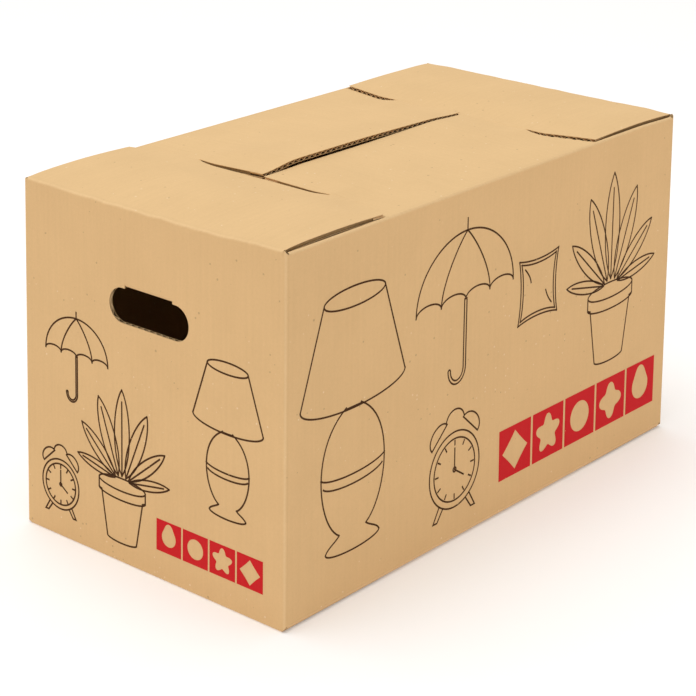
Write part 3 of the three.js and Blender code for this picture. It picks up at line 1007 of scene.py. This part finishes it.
# %% An alarm clock
def alarm_clock():
    """A ring within a ring, twelve marks, two hands, two bells, a handle and two feet."""
    strokes = [arc((0, 62), (50, 50), 0, 360, 72), arc((0, 62), (41, 41), 0, 360, 64)]
    for hour in range(12):
        way = np.array([math.cos(hour * math.pi / 6), math.sin(hour * math.pi / 6)])
        strokes.append(np.array([0, 62]) + np.outer((33, 38), way))
    strokes += [line((0, 62), (0, 90)), line((0, 62), (18, 50)), arc((0, 62), (3, 3), 0, 360, 16)]
    bell = arc((-31, 113), (20, 15), 10, 190, 24)
    bell = (bell - (-31, 113)) @ np.array([[0.82, 0.57], [-0.57, 0.82]]) + (-31, 113)
    strokes += [bell, line(bell[0], bell[-1]), mirrored(bell), line(bell[0], bell[-1]) * (-1, 1)]
    leg = line((-30, 22), (-42, 2), (-34, 2), (-23, 17))
    return strokes + [leg, mirrored(leg), curve((-18, 128), (-14, 146), (14, 146), (18, 128))]


print("clock:", len(alarm_clock()), "strokes")

# %% [markdown]
# A potted plant is one leaf drawn seven times. A leaf has two edges, which are the same curve bent to
# either side, and a rib. The leaves stand in a fan, so their tips are listed and the rest is worked out.

# %% A potted plant
def leaf(base, tip, width):
    """Two curves from base to tip, and a rib between them."""
    base, tip = np.array(base, float), np.array(tip, float)
    along = tip - base
    side = np.array([-along[1], along[0]]) * width
    edges = [curve(base, base + 0.25 * along + s * side, base + 0.8 * along + 0.8 * s * side, tip)
             for s in (-1, 1)]
    return edges + [curve(base, base + 0.3 * along, base + 0.6 * along, base + 0.86 * along, 12)]


def potted_plant():
    """Seven leaves over a pot with a rim."""
    pot = line((-38, 66), (-27, 4))
    rim = line((-43, 82), (-43, 68), (-38, 66))
    strokes = [pot, mirrored(pot), rim, mirrored(rim), arc((0, 4), (27, 5), 180, 360),
               arc((0, 68), (43, 8), 184, 356), arc((0, 82), (43, 9), 0, 360)]
    for tip, width in (((0, 214), 0.17), ((-44, 194), 0.18), ((46, 190), 0.18), ((-76, 150), 0.17),
                       ((78, 146), 0.17), ((-84, 104), 0.15), ((86, 102), 0.15)):
        base = (0.16 * tip[0], 84 + 0.05 * tip[1])
        strokes += leaf(base, tip, width)
    return strokes


print("plant:", len(potted_plant()), "strokes")

# %% [markdown]
# An open umbrella is half an ellipse over four small ones, with two ribs that meet at the top. The hooked
# handle is two arcs inside each other, so it reads as a tube.

# %% An umbrella
def umbrella():
    """A canopy with four scallops and two ribs, a shaft and a hooked handle."""
    strokes = [arc((0, 96), (84, 74), 0, 180, 60)]
    for k in range(4):
        middle = -63 + 42 * k
        strokes.append(arc((middle, 96), (21, 9), 0, 180, 16))
    for foot, pull in ((-42, -34), (42, 34)):
        strokes.append(curve((foot, 96), (foot, 120), (pull * 0.5, 156), (0, 170)))
    strokes += [line((0, 170), (0, 182)), line((-2, 96), (-2, 22)), line((2, 96), (2, 22)),
                arc((-13, 22), (15, 17), -180, 0, 24), arc((-13, 22), (11, 13), -180, 0, 24),
                arc((-26, 22), (2, 2), 0, 180, 8)]
    return strokes


print("umbrella:", len(umbrella()), "strokes")

# %% [markdown]
# A cushion is a square whose sides are drawn in between its corners. One side is drawn and turned three
# times by a quarter. A second, smaller round gives the piped edge.

# %% A cushion
def cushion():
    """A square with drawn-in sides, a piped edge and two folds."""
    strokes = []
    for inset in (0, 6):
        corner = 52 - inset
        pull = 38 - inset
        for k in range(4):
            turn = np.array([[math.cos(k * math.pi / 2), math.sin(k * math.pi / 2)],
                             [-math.sin(k * math.pi / 2), math.cos(k * math.pi / 2)]])
            edge = curve((-corner, corner), (-20, pull + 6), (20, pull + 6), (corner, corner))
            strokes.append(edge @ turn + (0, 54))
    return strokes + [curve((-36, 90), (-26, 80), (-22, 74), (-20, 66)),
                      curve((36, 20), (28, 28), (24, 34), (20, 44))]


print("cushion:", len(cushion()), "strokes")

# %% [markdown]
# The red fields are squares of solid ink with a simple shape left bare in each. A shape is a radius for
# every direction round its middle, as a share of half the square, so one formula draws it in any size.
# Boolean cuts in a plane would give the same picture, but with long thin faces.

# %% Shapes left out of the red fields, around their own middle
def flower_shape(turn):
    """A blunt five-petalled flower: the radius swells five times in a turn."""
    return 0.64 + 0.15 * np.cos(5 * (turn - math.pi / 2))


def drop_shape(turn):
    """A drop: round below, and drawn out to a point above."""
    rise = np.clip(np.cos(turn - math.pi / 2), 0, 1)
    return 0.56 + 0.3 * rise ** 7


def disc_shape(turn):
    """A plain disc."""
    return 0.62 + 0 * turn


def diamond_shape(turn):
    """A diamond with slightly drawn-in sides."""
    return 0.78 / (np.abs(np.cos(turn)) + np.abs(np.sin(turn))) ** 1.1


def clover_shape(turn):
    """A plump four-leaved clover: the radius swells up, down and to each side."""
    return 0.62 + 0.14 * np.cos(4 * turn)


widest = float(flower_shape(np.linspace(0, 2 * np.pi, 97)).max())
print("the flower reaches", round(widest, 2), "of the way to its square's edge")

# %% [markdown]
# A printed line has a width, and keeps it round corners. Each path gets more points, so that it can follow
# a bent wall, and then every point moves to both sides along the bisector of its corner, a little further
# where the corner is sharp. A curve object's bevel depth would make a tube, which is not flat ink.

# %% A path widened to a printed line
LINE_WIDTH = 1.75 * MM
STEP = 6 * MM
SHARPEST = 0.45


def with_more_points(path):
    """Drops doubled points and puts new ones between the rest, at most a step apart."""
    gap = np.hypot(*np.diff(path, axis=0).T)
    path = path[np.concatenate([[True], gap > 1e-6])]
    gap = np.hypot(*np.diff(path, axis=0).T)
    length = np.concatenate([[0], np.cumsum(gap)])
    extra = [np.linspace(a, b, int((b - a) / STEP) + 2)[:-1] for a, b in zip(length[:-1], length[1:])]
    spots = np.concatenate(extra + [length[-1:]])
    return np.stack([np.interp(spots, length, path[:, k]) for k in (0, 1)], -1)


def widened(path, width=LINE_WIDTH):
    """Two rows of points, half a width to either side along each corner's bisector."""
    path = with_more_points(path)
    way = np.diff(path, axis=0)
    way /= np.hypot(*way.T)[:, None]
    looped = np.hypot(*(path[0] - path[-1])) < 1e-6
    before = np.concatenate([way[-1:] if looped else way[:1], way])
    after = np.concatenate([way, way[:1] if looped else way[-1:]])
    normal = np.stack([-(before + after)[:, 1], (before + after)[:, 0]], -1)
    normal /= np.maximum(np.hypot(*normal.T), 1e-6)[:, None]
    spread_out = 1 / np.clip(-normal[:, 0] * after[:, 1] + normal[:, 1] * after[:, 0], SHARPEST, 1)
    offset = normal * (width / 2 * spread_out)[:, None]
    if not looped:
        path[0] -= way[0] * width / 2
        path[-1] += way[-1] * width / 2
    return np.stack([path - offset, path + offset], 0)


print("lines", LINE_WIDTH / MM, "mm wide, with a point at least every", STEP / MM, "mm")

# %% [markdown]
# A red field is the other kind of mark: a square with its shape left bare. Its grid runs round the middle
# in one parameter and from the shape's outline out to the square's edge in the other, as the short wall's
# grid runs round its grip hole.

# %% A square with a shape left out
def bare_in_square(centre, half, shape):
    """Rows run in shares from the shape's outline to the square's edge, along the same rays."""
    turn = np.linspace(0, 2 * np.pi, 97)
    way = np.stack([np.cos(turn), np.sin(turn)], -1)
    inner = way * (half * shape(turn))[:, None]
    outer = way * (half / np.abs(way).max(-1))[:, None]
    share = np.linspace(0, 1, 5)[:, None, None]
    return np.array(centre) * MM + inner + (outer - inner) * share


print("one red field:", bare_in_square((0, 0), 26 * MM, disc_shape).shape[:2], "points")

# %% [markdown]
# A plate is laid out flat, so a drawing is given in its wall's own plane: across from the lower left
# corner as one looks at the wall, and up. Four turned empties could carry the prints, but a piece has to
# sit at the origin, so the plane's points are worked out in the carton's frame at once.

# %% From a wall's plane to its place
INK_LIFT = 0.07 * MM


def on_wall(wall):
    """Gives the function that turns (across, up) on a wall into points in space, just over the liner."""
    def place(flat):
        across, up = flat.T
        if wall in ("front", "back"):
            way = 1 if wall == "front" else -1
            x = way * (across - HALF_LENGTH)
            return np.stack([x, np.full_like(x, -way * (HALF_WIDTH + INK_LIFT)), up], -1)
        way = 1 if wall == "left" else -1
        y = way * (HALF_WIDTH - across)
        return np.stack([np.full_like(y, -way * (HALF_LENGTH + INK_LIFT)), y, up], -1)

    return place


print("ink lies", round(INK_LIFT / MM, 2), "mm over the paper")

# %% [markdown]
# A rubber plate lays ink a few hundredths of a millimetre thick. Each print is a film: a mesh that floats
# just over the liner and follows every lean and sag of the wall. An image on the wall's UV map would be
# the usual way, but a film has sharp edges at any distance and needs no picture file.

# %% Films of ink
class Film:
    """Collects strokes and fields in a wall's own plane, and lays them on it."""

    def __init__(self, place):
        self.place = place
        self.points, self.faces, self.count = [], [], 0

    def add(self, grid):
        """A grid of points (rows, columns, 2) becomes faces."""
        rows, columns = grid.shape[:2]
        index = np.arange(rows * columns).reshape(rows, columns) + self.count
        self.points.append(grid.reshape(-1, 2))
        self.faces.append(np.stack([index[:-1, :-1], index[:-1, 1:], index[1:, 1:], index[1:, :-1]],
                                   -1).reshape(-1, 4))
        self.count += rows * columns

    def motif(self, strokes, foot, scale):
        """Draws a motif's strokes at its foot."""
        for stroke in strokes:
            self.add(widened(np.array(foot) * MM + stroke * scale * MM))

    def finish(self, name, material):
        """Lays the film on its wall, settles it with the board and turns its faces outwards."""
        flat = np.concatenate(self.points)
        points = settle(self.place(flat))
        faces = np.concatenate(self.faces)
        mesh = bpy.data.meshes.new(name)
        mesh.from_pydata(points, [], faces.tolist())
        mesh.materials.append(material)
        uv = mesh.uv_layers.new(name="sheet")
        uv.data.foreach_set("uv", flat[faces.reshape(-1)].reshape(-1))
        first = mesh.polygons[0]
        if first.normal.dot(first.center - Vector((0, 0, first.center.z))) < 0:
            mesh.flip_normals()
        piece = bpy.data.objects.new(name, mesh)
        bpy.context.scene.collection.objects.link(piece)
        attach(piece, "root")
        print(name, len(faces), "faces")
        return piece


# %% [markdown]
# Long and short walls carry the same drawings in another order and size, with a row of red fields low on
# the right. A print of one colour on one wall is one plate, so it is one piece. The places are given
# from the wall's lower left corner as one looks at it, which is how a printer would lay out the plate.

# %% What each wall is printed with
def print_long_wall(wall):
    """Lamp, umbrella, clock, cushion and plant in brown, and red fields low on the right."""
    brown, red = Film(on_wall(wall)), Film(on_wall(wall))
    brown.motif(table_lamp(), (90, 48), 1.15)
    brown.motif(umbrella(), (250, 154), 0.88)
    brown.motif(alarm_clock(), (238, 26), 0.76)
    brown.motif(cushion(), (366, 186), 0.62)
    brown.motif(potted_plant(), (492, 108), 0.92)
    for k, shape in enumerate((diamond_shape, flower_shape, disc_shape, clover_shape, drop_shape)):
        red.add(bare_in_square((334 + 55 * k, 62), 26 * MM, shape))
    return [brown.finish("print_brown_" + wall, BROWN_INK), red.finish("print_red_" + wall, RED_INK)]


def print_short_wall(wall):
    """Umbrella, clock, plant and lamp in brown, and a short row of red fields low on the right."""
    brown, red = Film(on_wall(wall)), Film(on_wall(wall))
    brown.motif(umbrella(), (70, 138), 0.5)
    brown.motif(alarm_clock(), (47, 22), 0.5)
    brown.motif(potted_plant(), (130, 20), 0.7)
    brown.motif(table_lamp(), (262, 86), 0.68)
    for k, shape in enumerate((drop_shape, disc_shape, flower_shape, diamond_shape)):
        red.add(bare_in_square((190 + 33 * k, 44), 15.5 * MM, shape))
    return [brown.finish("print_brown_" + wall, BROWN_INK), red.finish("print_red_" + wall, RED_INK)]


prints = print_long_wall("front") + print_long_wall("back")
prints += print_short_wall("left") + print_short_wall("right")

# %% [markdown]
# The detailed board stands for the imported solid, so the solid is hidden and stays as the collision
# shape.

# %% Stand in for the solid
board_pieces = end_walls + grip_tabs + side_walls + upright_edges + end_flaps + side_flaps
for piece in board_pieces:
    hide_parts("carton")
print(len(board_pieces), "pieces of board and", len(prints), "prints")

# %% [markdown]
# A product photographer would stand the carton on a sheet of pale paper, large enough to have no edge in
# the picture. The paper glows faintly here, which lifts the foot of the walls as a lit table would. The
# floor is not part of the object. A thin box could be the floor, but one face is enough.

# %% Floor
FLOOR_HALF = 30.0
FLOOR_PAPER = (0.83, 0.82, 0.81, 1)
FLOOR_GLOW = (1.0, 0.9, 0.8, 1)
GLOW_STRENGTH = 0.2


def stage_floor():
    """One large square of pale paper at the height of the carton's foot."""
    mesh = bpy.data.meshes.new("floor")
    corners = [(-FLOOR_HALF, -FLOOR_HALF, 0), (FLOOR_HALF, -FLOOR_HALF, 0),
               (FLOOR_HALF, FLOOR_HALF, 0), (-FLOOR_HALF, FLOOR_HALF, 0)]
    mesh.from_pydata(corners, [], [(0, 1, 2, 3)])
    floor = bpy.data.objects.new("floor", mesh)
    material = bpy.data.materials.new("pale_paper")
    material.use_nodes = True
    shader = material.node_tree.nodes["Principled BSDF"]
    shader.inputs["Base Color"].default_value = FLOOR_PAPER
    shader.inputs["Roughness"].default_value = 0.9
    shader.inputs["Emission Color"].default_value = FLOOR_GLOW
    shader.inputs["Emission Strength"].default_value = GLOW_STRENGTH
    mesh.materials.append(material)
    bpy.context.scene.collection.objects.link(floor)
    print("floor", 2 * FLOOR_HALF, "metres square")


stage_floor()

# %% [markdown]
# Soft light comes from large things: here the whole sky of the studio, brightest overhead and a little to
# the left and back, one big lamp over the lid, and two weak lamps near the floor that lift the feet of the
# long and the left wall. One lamp alone would cast hard shadows. The sky is cool above and warm below, as
# a pale room with a brown box in it is.

# %% Light
BRIGHT_SIDE = (-0.2, 0.28, 0.94)
DIM, BRIGHT = -0.5, 1.24
WARM, COOL = (1.0, 0.84, 0.74, 1), (0.94, 1.0, 1.05, 1)
LAMP_COOL, LAMP_WARM = (0.93, 1.0, 1.05), (1.0, 0.88, 0.80)


def area_light(name, place, target, size, power, colour):
    """A square lamp at a place, turned to look at its target."""
    lamp = bpy.data.lights.new(name, "AREA")
    lamp.size = size
    lamp.energy = power
    lamp.color = colour
    light = bpy.data.objects.new(name, lamp)
    aim = (Vector(target) - Vector(place)).to_track_quat("-Z", "Y")
    light.matrix_world = Matrix.Translation(place) @ aim.to_matrix().to_4x4()
    bpy.context.scene.collection.objects.link(light)


def soft_room():
    """Light from all round: brightest above, a little left and back, cool above and warm lower down."""
    world = bpy.data.worlds.new("soft_room")
    world.use_nodes = True
    tree = world.node_tree
    way = node(tree, "ShaderNodeTexCoord").outputs["Generated"]
    upper = node(tree, "ShaderNodeSeparateXYZ", {0: way}).outputs[2]
    facing = node(tree, "ShaderNodeVectorMath", {0: way, 1: BRIGHT_SIDE}, operation="DOT_PRODUCT").outputs[1]
    level = spread(tree, facing, -1.0, 1.0, DIM, BRIGHT)
    tint = blended(tree, spread(tree, upper, 0.1, 0.95), WARM, COOL)
    back = tree.nodes["Background"]
    tree.links.new(tint, back.inputs["Color"])
    tree.links.new(level, back.inputs["Strength"])
    bpy.context.scene.world = world


soft_room()
area_light("over", (-0.3, 0.3, 3.2), (0, 0, 0.3), 2.4, 31, LAMP_COOL)
area_light("low", (0.3, -1.7, 0.16), (0.0, -0.165, 0.04), 0.8, 4.6, LAMP_WARM)
area_light("low_left", (-1.7, 0.2, 0.16), (-0.3, 0.0, 0.04), 0.8, 0.6, LAMP_WARM)
bpy.context.scene.view_settings.view_transform = "Standard"

# %% [markdown]
# The camera stands where the photographer's stood: it was fitted to the corners of the carton that can
# be seen, with a long lens from the front left and above.

# %% Camera
CAMERA_PLACE = (-1.5323, -1.2610, 0.9124)
CAMERA_LOOK = (0.72868, 0.61020, -0.31094)
CAMERA_ROLL = math.radians(0.88)
CAMERA_LENS = 111.35
CAMERA_SHIFT = 0.18

camera_data = bpy.data.cameras.new("camera")
camera_data.lens = CAMERA_LENS
camera_data.sensor_width = 36
camera_data.shift_y = -CAMERA_SHIFT
camera_data.clip_start = 0.05
camera_data.clip_end = 200
camera = bpy.data.objects.new("camera", camera_data)
aim = Vector(CAMERA_LOOK).to_track_quat("-Z", "Y").to_matrix().to_4x4()
camera.matrix_world = Matrix.Translation(CAMERA_PLACE) @ aim @ Matrix.Rotation(CAMERA_ROLL, 4, "Z")
bpy.context.scene.collection.objects.link(camera)
bpy.context.scene.camera = camera
print("camera", CAMERA_LENS, "mm lens at", CAMERA_PLACE)
